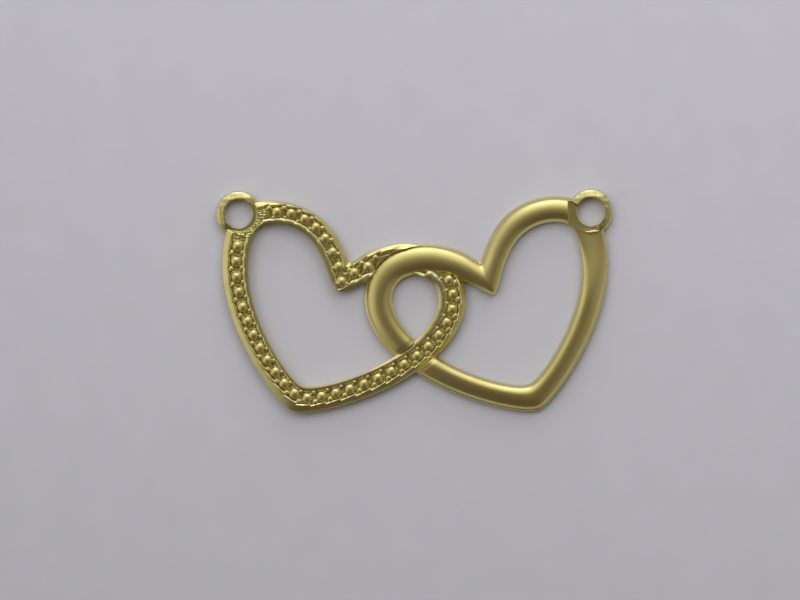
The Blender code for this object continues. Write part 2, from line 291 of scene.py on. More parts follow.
def outward(points, faces):
    """The faces, turned round if their volume, a sum of a . (b x c) / 6, is negative."""
    a, b, c, d = (points[faces[:, k]] for k in range(4))
    volume = np.sum(a * np.cross(b, c)) + np.sum(a * np.cross(c, d))
    return faces if volume > 0 else faces[:, ::-1]


def make_mesh(name, points, faces, values):
    """A smooth object of points and faces, with one number a point for each named value."""
    mesh = bpy.data.meshes.new(name)
    mesh.from_pydata(points, [], faces)
    for label, value in values.items():
        layer = mesh.attributes.new(label, "FLOAT", "POINT")
        layer.data.foreach_set("value", np.ascontiguousarray(value, dtype=np.float32).ravel())
    mesh.shade_smooth()
    mesh.update()
    piece = bpy.data.objects.new(name, mesh)
    bpy.context.scene.collection.objects.link(piece)
    return piece


def closed_skin(name, grid, values):
    """A smooth piece over a grid of points, rows by columns by 3."""
    points = grid.reshape(-1, 3)
    faces = outward(points, skin_faces(*grid.shape[:2]))
    piece = make_mesh(name, points, faces, values)
    print(name, "has", len(faces), "quads")
    return piece


print("a grid of 3 by 4 points closes with", len(skin_faces(3, 4)), "quads")

# %% [markdown]
# ## Where the beads lie
#
# The beads keep one pitch, but they were cut in the die by hand: each run of them has
# crept a little along the band, and drifts between its inner and its outer edge. An Array
# modifier on a curve would space them like a machine, and random shifts would look loose.
# Two short tables give this creep and drift for a few beads of each side, counted from the
# cleft, and the beads between them follow. A row of a table holds the bead's number, its
# creep in pitches and its drift outwards in millimetres.

# %% Bead line
LINK_RUN = ((0, 0.0, -0.50), (1, -0.27, -0.03), (8, -0.24, 0.12), (12, -0.30, 0.09),
            (16, -0.23, -0.10), (19, -0.14, -0.13), (22, -0.13, -0.14))
EYELET_RUN = ((0, 0.0, -0.50), (1, -0.37, 0.05), (3, -0.34, 0.12), (6, -0.53, 0.12),
              (8, -0.70, -0.12), (11, -0.67, -0.08), (16, -0.60, -0.12), (20, -0.74, -0.20),
              (22, -0.80, -0.25))


def run_of_beads(table):
    """Travel from the cleft in pitches, and drift outwards in metres, of each bead of a side."""
    number, creep, drift = np.array(table).T
    bead = np.arange(number[-1] + 1)
    return bead + np.interp(bead, number, creep), np.interp(bead, number, drift) * MM


def bead_line():
    """Travel and drift of all beads round the heart, starting and ending in the cleft."""
    rounds = len(BEADED_RAILS["outer"]) / ROWS_PER_BEAD
    link_travel, link_drift = run_of_beads(LINK_RUN)
    back_travel, back_drift = run_of_beads(EYELET_RUN)
    return (np.concatenate([link_travel, rounds - back_travel[::-1]]),
            np.concatenate([link_drift, back_drift[::-1]]))


BEAD_TRAVEL, BEAD_DRIFT = bead_line()
ROW_TRAVEL = np.arange(len(BEADED_RAILS["outer"])) / ROWS_PER_BEAD
ROW_DRIFT = np.interp(ROW_TRAVEL, BEAD_TRAVEL, BEAD_DRIFT)
HALFWAY = (BEAD_TRAVEL[1:] + BEAD_TRAVEL[:-1]) / 2
NEAREST_BEAD = BEAD_TRAVEL[np.searchsorted(HALFWAY, ROW_TRAVEL)]
PAST_BEAD = (ROW_TRAVEL - NEAREST_BEAD) * BEAD_PITCH
print(len(BEAD_TRAVEL) - 1, "beads round the beaded heart")

# %% [markdown]
# ## The beaded heart's band
#
# A die struck this band: a rounded outer flank, an almost level inner shoulder, and
# between them a channel with a sharp rim on each side. A section swept along the heart
# and stretched with the band would stretch the channel too. But the real channel keeps
# its width and follows the beads, so the flank and the shoulder share what is left. Each
# point of the section therefore has a pull: at 0 it stays on the band's edge, at 1 it
# keeps its place from the channel's middle.

# %% Section of the beaded band
INNER_EDGE, OUTER_EDGE = 1.42 * MM, 1.13 * MM
INNER_RIM, OUTER_RIM = -0.66 * MM, 0.72 * MM
RIM_HEIGHT, RIM_WIDTH = 1.50 * MM, 0.04 * MM
FLOOR_HEIGHT = 1.20 * MM
FLANK_STEPS, FLOOR_STEPS, BACK_STEPS = 10, 36, 13
FLANK_ROUND = 0.25
SHOULDER = ((0, 0), (0.015, 0.018), (0.30, 0.34), (1, 1))
SUPPORT, BACK_EDGE = 0.02 * MM, 0.99


def beaded_section():
    """Side (-1 inner edge, 1 outer), pull, place from the channel's middle, and height.

    The outer flank rises as (1 - round) t + round sin(90 t), t from the edge to the rim. A
    support row just below the inner edge keeps that edge crisp under smooth shading.
    """
    t = np.linspace(0, 1, FLANK_STEPS)
    flank_rise = (1 - FLANK_ROUND) * t + FLANK_ROUND * np.sin(t * pi / 2)
    shoulder_pull, shoulder_rise = np.array(SHOULDER).T
    inner = [(-BACK_EDGE, 0, 0, 0), (-1, 0, 0, SUPPORT), (-1, 0, 0, INNER_EDGE - SUPPORT)]
    inner += [(-1, pull, INNER_RIM, INNER_EDGE + (RIM_HEIGHT - INNER_EDGE) * rise)
              for pull, rise in zip(shoulder_pull, shoulder_rise)]
    outer = [(1, pull, OUTER_RIM, OUTER_EDGE + (RIM_HEIGHT - OUTER_EDGE) * rise)
             for pull, rise in zip(t[::-1], flank_rise[::-1])]
    outer += [(1, 0, 0, SUPPORT), (BACK_EDGE, 0, 0, 0)]
    back = [(side, 0, 0, 0) for side in np.linspace(BACK_EDGE, -BACK_EDGE, BACK_STEPS)[1:-1]]
    middle = [(0, 1, place, FLOOR_HEIGHT)
              for place in np.linspace(INNER_RIM + RIM_WIDTH, OUTER_RIM - RIM_WIDTH, FLOOR_STEPS)]
    return np.array(inner + middle + outer + back).T


section_side, section_pull, section_place, section_height = beaded_section()
print("points across the beaded band:", len(section_side))

# %% [markdown]
# The floor of the channel is where most of the character lies. A wall with a bevelled top
# stands along each rim. Each bead stands on a square plate with thin bevels. The inner
# wall is notched between the beads, a pit keeps the space behind each of them dark, and
# the outer rim runs askew past every bead, so that it looks stepped like a saw. A bump
# map could draw all this, but the light would run straight over it; as real heights it
# casts its own shade. The heights depend only on where a point lies past its nearest
# bead, so one formula serves every seat.

# %% Seats of the beads
WALL_HEIGHT, BEVEL_DROP = 0.29 * MM, 0.09 * MM
INNER_BEVEL, INNER_FOOT = -0.54 * MM, -0.50 * MM
OUTER_FOOT, OUTER_BEVEL = 0.54 * MM, 0.58 * MM
NOTCH_DEPTH, NOTCH_WIDTH = 0.16 * MM, 0.14 * MM
PLATE_ALONG, PLATE_ACROSS, PLATE_SHIFT = 0.47 * MM, 0.45 * MM, 0.03 * MM
PLATE_HEIGHT, PLATE_BEVEL, PLATE_DROP = 0.22 * MM, 0.06 * MM, 0.05 * MM
PLATE_SLOPE, PLATE_SQUARE = 0.80, 8
PIT_ALONG, PIT_ACROSS, PIT_RADIUS, PIT_DEPTH = -0.66 * MM, -0.20 * MM, 0.16 * MM, 0.12 * MM
JOG_ALONG, ASKEW, ASKEW_FROM = -0.49 * MM, 0.16, 0.20 * MM


def bump(distance, width):
    """A round bump: exp(-(distance / width)^2)."""
    return np.exp(-(distance / width) ** 2)


def seat_relief(along, across):
    """Height of the relief between the rims, over the channel's floor.

    along is the distance past the nearest bead's centre and across the distance from the
    middle of the channel, outwards. The plate reads its height from the distance past its
    edge, measured in the rounded square (a^8 + c^8)^(1/8): level, bevel, then a drop.
    """
    bevel_foot = WALL_HEIGHT - BEVEL_DROP
    wall = np.interp(across, (INNER_RIM, INNER_BEVEL, INNER_FOOT, OUTER_FOOT, OUTER_BEVEL, OUTER_RIM),
                     (WALL_HEIGHT, bevel_foot, 0, 0, bevel_foot, WALL_HEIGHT))
    notch = NOTCH_DEPTH * bump(BEAD_PITCH / 2 - np.abs(along), NOTCH_WIDTH) * (across < 0)
    from_bead = (along - PLATE_SHIFT) / PLATE_ALONG
    square = from_bead ** PLATE_SQUARE + (across / PLATE_ACROSS) ** PLATE_SQUARE
    past_edge = (square ** (1 / PLATE_SQUARE) - 1) * PLATE_ALONG
    plate = np.interp(past_edge, (-PLATE_BEVEL, 0, PLATE_DROP),
                      (PLATE_HEIGHT, PLATE_HEIGHT - PLATE_SLOPE * PLATE_BEVEL, 0))
    pit = PIT_DEPTH * bump(np.hypot(along - PIT_ALONG, across - PIT_ACROSS), PIT_RADIUS)
    return np.maximum(np.maximum(wall - notch, plate), 0) - pit


relief = seat_relief(PAST_BEAD[:, None], section_place[section_side == 0])
print("seats rise and sink by", round(relief.max() / MM, 2), round(relief.min() / MM, 2), "mm")

# %% [markdown]
# Near the eyelet the band is squeezed between the window and the punched hole. A Boolean
# could punch the hole through the finished band, but the rows would then end in ragged
# cuts. So the outer rail is cut back to the hole's edge first: on each row, the first
# place where the line from the inner rail meets the circle becomes the new outer end.

# %% Squeeze a band past its eyelet
HOLE_RADIUS = 1.29 * MM
SQUEEZE_RADIUS = 1.31 * MM


def squeeze(rails, centre, radius):
    """Outer rail cut back where inner + s * across enters a circle; s solves a quadratic."""
    across = rails["outer"] - rails["inner"]
    away = rails["inner"] - centre
    a = np.sum(across ** 2, axis=1)
    b = 2 * np.sum(across * away, axis=1)
    c = np.sum(away ** 2, axis=1) - radius ** 2
    inside = b ** 2 - 4 * a * c
    share = (-b - np.sqrt(np.maximum(inside, 0))) / (2 * a)
    share = np.where((inside > 0) & (share > 0) & (share < 1), share, 1.0)
    return rails["inner"] + share[:, None] * across


squeezed = squeeze(BEADED_RAILS, ring_centre(BEADED), SQUEEZE_RADIUS) - BEADED_RAILS["inner"]
print("beside its hole the beaded band is", round(np.hypot(*squeezed.T).min() / MM, 2), "mm wide")

# %% [markdown]
# At a crossing the lower heart is cut down to the lap, a third of the way up, and dips a
# little on its way there. The upper heart is cut away from below to the same height. Both are
# simple limits on the height of the finished grid, so no face is cut. The step down
# starts deeper inside the upper band where the channel passes under, because its walls
# would otherwise open a dark gap beside the upper band's edge.

# %% Laps
LAP_HEIGHT, LAP_LIP = 0.55 * MM, 0.06 * MM
PLAIN_LAP = {"from": LAP_LIP, "to": 0.20 * MM, "dip": 0.05, "dip_reach": 0.50 * MM}
BEADED_LAP = {"from": 0.20 * MM, "to": 0.30 * MM, "dip": 0.12, "dip_reach": 0.40 * MM}


def pass_under(grid, depth, chosen, lap):
    """Lower a surface to the lap inside the other band, and by a dip on the way to it.

    What stands above the lap is multiplied by 1 - dip beside the band and by 0 inside it.
    """
    near = (1 - smooth_step(0, lap["dip_reach"], -depth)) * chosen
    height = grid[..., 2]
    lowered = LAP_HEIGHT + (height - LAP_HEIGHT) * (1 - lap["dip"] * near)
    dipped = np.where(height > LAP_HEIGHT, lowered, height)
    sunk = smooth_step(lap["from"], lap["to"], depth) * chosen
    grid[..., 2] = dipped - sunk * np.maximum(dipped - LAP_HEIGHT, 0)


def pass_over(grid, depth, chosen):
    """Raise the underside of a surface to the lap where the other band passes below."""
    sunk = smooth_step(0, LAP_LIP, depth) * chosen
    grid[..., 2] = np.maximum(grid[..., 2], sunk * LAP_HEIGHT)


def upper(points):
    """1 where a point belongs to the upper crossing and 0 where to the lower one."""
    return (points[..., 1] > BETWEEN_CROSSINGS) * 1.0


print("the hearts lap at", round(LAP_HEIGHT / MM, 2), "mm of", round(BAND_HEIGHT / MM, 2), "mm")

# %% [markdown]
# On every row the channel's rim must find its place. The channel narrows with a narrow
# band, and on the wide lobe beside the cleft it widens more than the band does, because
# the die kept the outer flank slim there. So the flank has a room, given for two widths
# of the band, and where it would be wider than that the outer rim moves out. Scaling the
# whole section would be simpler, but it makes that flank a broad slope. The notch of
# each heart also goes a little deeper than the solids have it, with a round bump.

# %% Room for the rim
CHANNEL_ROOM, WIDE_BAND, WIDENING = 2.15 * MM, 2.50 * MM, 1.2
BAND_WIDTHS, FLANK_ROOMS = (2.50 * MM, 3.00 * MM), (0.80 * MM, 0.50 * MM)
CLEFT_SINK, CLEFT_REACH = 0.26 * MM, 1.10 * MM


def channel_scale(width):
    """(width / room), at most 1, times (width / wide band)^widening, which is at least 1."""
    return np.minimum(width / CHANNEL_ROOM, 1) * np.maximum(width / WIDE_BAND, 1) ** WIDENING


def cleft_sink(rails):
    """How far the outer edge is sunk: a round bump of the distance from the cleft's corner."""
    away = np.hypot(*(rails["outer"] - rails["outer"][0]).T)
    return CLEFT_SINK * bump(away, CLEFT_REACH)


def rim_shift(rows, width):
    """How far the outer rim moves out: half width less rim less the flank's room, if above 0."""
    room = np.interp(width, BAND_WIDTHS, FLANK_ROOMS) + cleft_sink(BEADED_RAILS)[rows][:, None]
    rim = (ROW_DRIFT[rows][:, None] + OUTER_RIM) * channel_scale(width)
    return np.maximum(width / 2 - rim - room, 0)


beaded_span = BEADED_RAILS["outer"] - BEADED_RAILS["inner"]
beaded_width = np.hypot(*beaded_span.T)[:, None]
print("the outer rim moves out by", round(rim_shift(slice(None), beaded_width).max() / MM, 2), "mm")

# %% [markdown]
# Round the punched hole the metal was pushed about: the seats fade out, and the channel
# is left rough. A noise texture would only roughen the shading. A few crossed waves
# roughen the metal itself, the same on every run, and they serve again for the burr and
# for the dents of the eyelets.

# %% Roughness
WAVES = ((1, 0.6, 0), (-0.5, 1, 1), (1.7, -1.1, 2), (1.5, 1.3, 0))
ROUGH_HEIGHT, ROUGH_LENGTH = 0.11 * MM, 0.55 * MM


def roughness(points, length):
    """Crossed waves: the mean of sin(a) sin(b) over two pairs of turned directions.

    A row of WAVES says how much x and y count in one wave, and where the wave starts.
    """
    x, y = np.moveaxis(points, -1, 0) * tau / length
    a, b, c, d = (np.sin(right * x + up * y + start) for right, up, start in WAVES)
    return (a * b + c * d) / 2


waves = roughness(BEADED_RAILS["inner"], ROUGH_LENGTH)
print("the waves run from", round(waves.min(), 2), "to", round(waves.max(), 2))

# %% [markdown]
# Now the band can be laid out, first as seen from above. Each point lies between its
# edge and its place in the channel, as its pull says. The outer rim also runs askew past
# each bead and jumps back, which makes the teeth of the saw; a high power of the pull
# keeps the flank's foot out of it.

# %% Plan of the beaded band
RIM_GRIP = 8


def beaded_plan(rails, span, width):
    """Points of the band seen from above, rows by columns by 2.

    From the middle: side (1 - pull) width / 2 + pull ((drift + place + askew) scale + shift).
    """
    past = PAST_BEAD[:, None]
    past_jog = past + BEAD_PITCH * (past < JOG_ALONG)
    outwards = np.clip(section_place / OUTER_RIM, 0, 1)
    askew = ASKEW * (past_jog - ASKEW_FROM) * outwards * section_pull ** RIM_GRIP
    in_channel = (ROW_DRIFT[:, None] + section_place + askew) * channel_scale(width)
    from_middle = (section_side * (1 - section_pull) * width / 2
                   + section_pull * (in_channel + rim_shift(slice(None), width) * outwards))
    flat = rails["inner"][:, None] + (0.5 + from_middle / width)[..., None] * span[:, None]
    flat[..., 1] -= cleft_sink(rails)[:, None] * np.maximum(section_side, 0) * (1 - section_pull)
    return flat


plan_shape = beaded_plan(BEADED_RAILS, beaded_span, beaded_width).shape
print("the plan has", plan_shape[0], "rows and", plan_shape[1], "columns")

# %% [markdown]
# Then come the heights: the section, the seats and the roughness beside the hole. The
# inner shoulder is level on most of the heart, but on the link lobe, where the band
# faces right, it leans down to the window. Near the hole everything is flatter, and what
# would stand through the eyelet's collar is taken down to just under it. One could push
# such places about with sculpting brushes; as formulas they stay easy to change.

# %% Heights of the beaded band
RING_REACH, ROUGH_REACH = 2.35 * MM, 2.75 * MM
SEATS_FADE, WORN_SEATS = 0.20 * MM, 0.40
LOBE_LEAN, LOBE_FROM, LOBE_TO = 0.19 * MM, 0.20, 0.90
WEB_RELIEF = 0.35
COLLAR_RADIUS, COLLAR_HEIGHT = 1.55 * MM, 1.10 * MM
COLLAR_REACH, UNDER_COLLAR = 1.78 * MM, 0.03 * MM


def channel_relief(flat, from_hole):
    """Seats, worn to a share of themselves beside the hole, plus the roughness there."""
    seated = smooth_step(RING_REACH - SEATS_FADE, ROUGH_REACH, from_hole)
    seats = seat_relief(PAST_BEAD[:, None], section_place) * (seated + (1 - seated) * WORN_SEATS)
    rough = ROUGH_HEIGHT * (1 + roughness(flat, ROUGH_LENGTH)) * (1 - seated)
    return (seats + rough) * (section_side == 0)


def beaded_height(flat, span, centre):
    """Section plus relief less the lobe's lean, then flattened towards the hole.

    What stands above the outer edge loses a share of itself beside the hole, and what
    stands above the collar loses all of it.
    """
    from_hole = np.hypot(*np.moveaxis(flat - centre, -1, 0))
    facing = smooth_step(LOBE_FROM, LOBE_TO, span[:, 0] / np.hypot(*span.T))[:, None]
    shoulder = (section_side == -1) & (section_height > INNER_EDGE / 2)
    lean = LOBE_LEAN * facing * (1 - section_pull) * shoulder
    height = section_height + channel_relief(flat, from_hole) - lean
    pressed = 1 - smooth_step(HOLE_RADIUS, RING_REACH, from_hole)
    height = height - np.maximum(height - OUTER_EDGE, 0) * pressed * WEB_RELIEF
    collar = 1 - smooth_step(COLLAR_RADIUS, COLLAR_REACH, from_hole)
    return height - collar * np.maximum(height - COLLAR_HEIGHT + UNDER_COLLAR, 0)


# %% [markdown]
# Plan and heights together are the grid of the band, and the laps limit it. Two marks go
# along with its points: how deep in the channel one lies, for painted shade that darkens
# and browns the channel, and whether it is on a rim, for a paler polish that is partly
# rubbed wear and partly painted highlight. They could be painted by hand, but the heights
# know them.

# %% Build the beaded band
def build_beaded_band():
    """Plan and heights as one grid, limited by the laps, with its marks."""
    rails, centre = BEADED_RAILS, ring_centre(BEADED)
    span = squeeze(rails, centre, SQUEEZE_RADIUS) - rails["inner"]
    flat = beaded_plan(rails, span, np.hypot(*span.T)[:, None])
    height = beaded_height(flat, span, centre)
    grid = np.concatenate([flat, height[..., None]], axis=-1)
    depth = depth_inside(flat, PLAIN_RAILS)
    pass_under(grid, depth, upper(flat), BEADED_LAP)
    pass_over(grid, depth, 1 - upper(flat))
    floor = section_side == 0
    # Painted shade: the deeper a point lies in the channel, the darker and browner its brass.
    recess = smooth_step(RIM_HEIGHT, FLOOR_HEIGHT, height) * floor
    # Rims and wall tops are painted paler: partly rubbed polish, partly painted highlight.
    on_rim = (section_pull == 1) & (section_height == RIM_HEIGHT)
    on_wall = floor & ((section_place < INNER_BEVEL) | (section_place > OUTER_BEVEL))
    crest = (on_rim + on_wall) * smooth_step(FLOOR_HEIGHT, RIM_HEIGHT, height)
    return closed_skin("beaded_band", grid, {"recess": recess, "crest": crest})


beaded_band = build_beaded_band()

# %% [markdown]
# ## Beads
#
# The beads are balls that the punch left slightly square, half sunk in their seats. Flatter
# seeds lie between them against the outer rim, and small nubs against the inner one. A UV
# sphere scaled by hand would be round; here the rings of a ball are bent to a rounded
# square. Swept as rings of latitude, the ball closes at both poles.

# %% Shape of a bead
BEADS = {"along": 0.50 * MM, "across": 0.50 * MM, "rise": 0.46 * MM, "top": 1.70 * MM,
         "square": 2.3, "flat": 2.0, "from_middle": 0.0}
SEEDS = {"along": 0.30 * MM, "across": 0.26 * MM, "rise": 0.26 * MM, "top": 1.54 * MM,
         "square": 2.3, "flat": 2.2, "from_middle": 0.42 * MM}
NUBS = {"along": 0.20 * MM, "across": 0.17 * MM, "rise": 0.24 * MM, "top": 1.56 * MM,
        "square": 2.3, "flat": 2.2, "from_middle": -0.50 * MM}
BALL_STEPS, BALL_RINGS = 32, 14


def squared_ball(steps, rings, square, flat):
    """Points, quads and triangles of a ball with power curves in place of circles.

    Ring radius cos(b)^(2/flat), height sin(b)^(2/flat), and each ring is divided by
    (|cos a|^square + |sin a|^square)^(1/square).
    """
    turn = np.arange(steps) * tau / steps
    rise = np.linspace(-pi / 2, pi / 2, rings + 1)[1:-1, None]
    corner = (np.abs(np.cos(turn)) ** square + np.abs(np.sin(turn)) ** square) ** (-1 / square)
    reach = np.cos(rise) ** (2 / flat) * corner
    height = np.sign(rise) * np.abs(np.sin(rise)) ** (2 / flat)
    body = np.stack([np.cos(turn) * reach, np.sin(turn) * reach, height + 0 * turn], axis=-1)
    points = np.concatenate([body.reshape(-1, 3), [(0, 0, -1), (0, 0, 1)]])
    index = np.arange((rings - 1) * steps).reshape(rings - 1, steps)
    beside = np.roll(index, -1, axis=1)
    quads = np.stack([index[:-1], beside[:-1], beside[1:], index[1:]], axis=-1).reshape(-1, 4)
    south, north = index.size, index.size + 1
    low = np.stack([beside[0], index[0], np.full(steps, south)], axis=-1)
    high = np.stack([index[-1], beside[-1], np.full(steps, north)], axis=-1)
    return points, quads, np.concatenate([low, high])


ball_points = squared_ball(BALL_STEPS, BALL_RINGS, BEADS["square"], BEADS["flat"])[0]
print("one bead has", len(ball_points), "points")

# %% [markdown]
# Each bead needs a place and two directions, along the band and across it, taken from the
# rails at its travel. One could copy an object to every place, but each would be an object
# of its own. Turning and moving the one shape in a single array sum makes the whole row
# one piece. Beads that would lie under the eyelet or the other heart are left out. A seed
# or nub lies at a share of the way from its bead to the next.

# %% Place the beads
LINK_SEED, EYELET_SEED, NUB_SHARE = 0.36, 0.50, 0.62
LOBE_GAP = 0.3


def bead_frames(travel, shape):
    """Centre, along and across of beads at the given travel, where no other piece is."""
    rows = np.round(travel * ROWS_PER_BEAD).astype(int) % len(ROW_TRAVEL)
    inner, outer = BEADED_RAILS["inner"][rows], BEADED_RAILS["outer"][rows]
    width = np.hypot(*(outer - inner).T)[:, None]
    across = (outer - inner) / width
    along = np.column_stack([-across[:, 1], across[:, 0]])
    offset = (ROW_DRIFT[rows] + shape["from_middle"])[:, None] * channel_scale(width)
    offset = offset + rim_shift(rows, width) * (shape["from_middle"] > 0)
    flat = (inner + outer) / 2 + offset * across
    clear_of_ring = np.hypot(*(flat - ring_centre(BEADED)).T) > RING_REACH
    outside_lobe = depth_inside(flat, PLAIN_RAILS) < -LOBE_GAP * shape["along"]
    chosen = clear_of_ring & (outside_lobe | (upper(flat) == 0))
    return flat[chosen], along[chosen], across[chosen]


def build_beads(name, travel, shape):
    """One piece of many beads: centre + x along + y across, and z up to the top.

    Along, across and up are a left-handed set, which mirrors the ball, so the corners of
    each face are taken in the other order and the faces point outwards again.
    """
    ball, quads, triangles = squared_ball(BALL_STEPS, BALL_RINGS, shape["square"], shape["flat"])
    quads, triangles = quads[:, [0, 3, 2, 1]], triangles[:, ::-1]
    x, y, z = (ball * (shape["along"], shape["across"], shape["rise"])).T
    centre, along, across = (part[:, None] for part in bead_frames(travel, shape))
    flat = centre + x[:, None] * along + y[:, None] * across
    height = np.broadcast_to(shape["top"] - shape["rise"] + z, flat.shape[:2])
    points = np.concatenate([flat, height[..., None]], axis=-1).reshape(-1, 3)
    first = np.arange(len(centre))[:, None, None] * len(ball)
    faces = (first + quads).reshape(-1, 4).tolist() + (first + triangles).reshape(-1, 3).tolist()
    bare = np.zeros(len(points))
    print(name, "has", len(centre), "beads")
    return make_mesh(name, points, faces, {"recess": bare, "crest": bare})


to_next = np.diff(BEAD_TRAVEL)
on_link_side = np.arange(len(to_next)) < LINK_RUN[-1][0]
seed_travel = BEAD_TRAVEL[:-1] + np.where(on_link_side, LINK_SEED, EYELET_SEED) * to_next
bead_row = build_beads("bead_row", BEAD_TRAVEL[:-1], BEADS)
seed_beads = build_beads("seed_beads", seed_travel, SEEDS)
nub_beads = build_beads("nub_beads", BEAD_TRAVEL[:-1] + NUB_SHARE * to_next, NUBS)

# %% [markdown]
# ## The plain heart's band
#
# A half-round band on a flat back, with a narrow ledge at the foot of the dome that
# catches a thin line of light. A bevelled curve with a half-round profile would come
# close, but the real crest lies nearer the window than the middle, and where the band
# faces up its ledge was polished away to a plain slope. So there are two sections with
# equally many points, one crisp and one worn, and each row can blend them.

# %% Section of the plain band
OUTER_LEDGE, INNER_LEDGE = 0.20 * MM, 0.07 * MM
LEDGE_FOOT, LEDGE_TOP, SLOPE_FOOT = 0.76 * MM, 0.94 * MM, 0.72 * MM
PLAIN_EDGE, CORNER = 0.97 * MM, 0.01 * MM
CREST_SHARE = 0.60
LEDGE_STEPS, DOME_STEPS = 5, 44


def plain_section():
    """Across, height and worn height: edge, ledge, two quarter ellipses, ledge, edge, back.

    Dome: across = crest - reach cos(turn), height = edge + rise sin(turn). The reach is
    shorter towards the window. Each ledge is a small quarter ellipse of its own.
    """
    turn = np.linspace(0, pi, DOME_STEPS)
    crest = SIDE_BAND * (1 - CREST_SHARE)
    reach = np.where(turn < pi / 2, crest - INNER_LEDGE, SIDE_BAND - OUTER_LEDGE - crest)
    dome_across = crest - reach * np.cos(turn)
    dome_height = PLAIN_EDGE + (BAND_HEIGHT - PLAIN_EDGE) * np.sin(turn)
    roll = np.linspace(0, pi / 2, LEDGE_STEPS + 1)[:-1]
    roll_across, roll_height = 1 - np.cos(roll), np.sin(roll) * (LEDGE_TOP - LEDGE_FOOT)
    inner_rise = np.concatenate([[CORNER, 0], roll_across * INNER_LEDGE])
    outer_rise = SIDE_BAND - np.concatenate([[CORNER, 0], roll_across * OUTER_LEDGE])
    rise_height = np.concatenate([[0, SUPPORT], LEDGE_FOOT + roll_height])
    slope = SLOPE_FOOT + (PLAIN_EDGE - SLOPE_FOOT) * roll_across
    slope_height = np.concatenate([[0, SUPPORT], slope])
    back = np.linspace(SIDE_BAND - CORNER, CORNER, BACK_STEPS)[1:-1]
    across = np.concatenate([inner_rise, dome_across, outer_rise[::-1], back])
    level = np.zeros(len(back))
    height = np.concatenate([rise_height, dome_height, rise_height[::-1], level])
    worn_height = np.concatenate([rise_height, dome_height, slope_height[::-1], level])
    return across, height, worn_height


print("points across the plain band:", len(plain_section()[0]))

# %% [markdown]
# At the eyelet the dome was pressed down to a flat pad. It ends with a sharp step to the
# left of the hole and above it, but below the hole the band rises only slowly, over half
# of its side, to its full height. The punch also threw up a small burr there. One could
# sculpt both, but pressing down is only a limit on the height with softer or harder
# borders, and the burr is a bump that the crossed waves make uneven.

# %% Pad and burr
PAD_HEIGHT = 1.04 * MM
PAD_LEFT, PAD_LEFT_SOFT = 2.04 * MM, 0.03 * MM
PAD_TOP, PAD_TOP_SOFT = 0.95 * MM, 0.04 * MM
LOW_FROM, LOW_TO = 0.80 * MM, 8.60 * MM
BURR_RADIUS, BURR_WIDTH, BURR_HEIGHT = 1.86 * MM, 0.12 * MM, 0.12 * MM
BURR_AT, BURR_SPREAD, BURR_LENGTH = 0.12 * MM, 0.50 * MM, 0.50 * MM
BURR_BODY = 0.6


def press_pad(height, right, above):
    """Height less what stands above the pad, times 1 on the pad and 0 past its borders."""
    left_of_pad = smooth_step(PAD_LEFT - PAD_LEFT_SOFT, PAD_LEFT + PAD_LEFT_SOFT, -right)
    over_pad = smooth_step(PAD_TOP - PAD_TOP_SOFT, PAD_TOP + PAD_TOP_SOFT, above)
    past_pad = smooth_step(LOW_FROM, LOW_TO, -above)
    pad = 1 - np.maximum(np.maximum(left_of_pad, over_pad), past_pad)
    return height - pad * np.maximum(height - PAD_HEIGHT, 0)


def burr_height(height, right, above, flat):
    """A bump across a ring round the hole, times a bump to the side, times body + waves."""
    across_burr = bump(np.hypot(right, above) - BURR_RADIUS, BURR_WIDTH)
    ridge = across_burr * bump(right - BURR_AT, BURR_SPREAD) * (above < 0) * (height > LEDGE_TOP)
    return BURR_HEIGHT * ridge * (BURR_BODY + roughness(flat, BURR_LENGTH))


print("the pad lies", round((BAND_HEIGHT - PAD_HEIGHT) / MM, 2), "mm below the crest")

# %% [markdown]
# The band follows its rails like the beaded one, and the same limits make its laps. How
# far a row faces up is read from its span: the way from the inner to the outer rail. The
# ledge is marked for a paler polish, partly rubbed wear and partly a painted highlight,
# where it is still there.

# %% Build the plain band
WORN_FROM, WORN_TO = 0.10, 0.70
LEDGE_POLISH_HIGHLIGHT = 0.5


def build_plain_band():
    """Inner rail + across / width times span, at heights that blend the two sections."""
    rails, centre = PLAIN_RAILS, ring_centre(PLAIN)
    outer = squeeze(rails, centre, SQUEEZE_RADIUS) - np.outer(cleft_sink(rails), (0, 1))
    span = outer - rails["inner"]
    worn = smooth_step(WORN_FROM, WORN_TO, span[:, 1] / np.hypot(*span.T))[:, None]
    across, height, worn_height = plain_section()
    flat = rails["inner"][:, None] + (across / SIDE_BAND)[None, :, None] * span[:, None]
    right, above = np.moveaxis(flat - centre, -1, 0)
    height = press_pad(height + (worn_height - height) * worn, right, above)
    height = height + burr_height(height, right, above, flat)
    grid = np.concatenate([flat, height[..., None]], axis=-1)
    depth = depth_inside(flat, BEADED_RAILS)
    pass_over(grid, depth, upper(flat))
    pass_under(grid, depth, 1 - upper(flat), PLAIN_LAP)
    # The ledge is painted paler: partly rubbed polish, partly painted highlight.
    on_ledge = (across < INNER_LEDGE) | (across > SIDE_BAND - OUTER_LEDGE * (1 - worn))
    crest = LEDGE_POLISH_HIGHLIGHT * on_ledge * (height > LEDGE_FOOT / 2)
    return closed_skin("plain_band", grid, {"recess": np.zeros_like(height), "crest": crest})


plain_band = build_plain_band()

# %% [markdown]
# ## Eyelets
#
# Each eyelet is a domed ring round a punched hole. Only its outer part stands free: on
# the heart's side it is lower and flatter, where the punch pressed it into the shoulder.
# A torus is too even for that. So two sections are given as short tables, each a height
# as a share of the top over a share of the way from the hole to the edge: a free one,
# highest near the hole, and a pressed one.

# %% Section of a ring
RING_DOME_STEPS, RING_WALL_STEPS = 24, 5
FREE_RING = ((0, 0.985), (0.05, 1.0), (0.14, 1.0), (0.35, 0.972), (0.60, 0.925), (0.80, 0.878),
             (0.90, 0.84), (0.97, 0.77), (1, 0.69))
PRESSED_RING = ((0, 0.93), (0.20, 1.0), (1, 1.0))
RING_BACK = (0.97, 0.03)


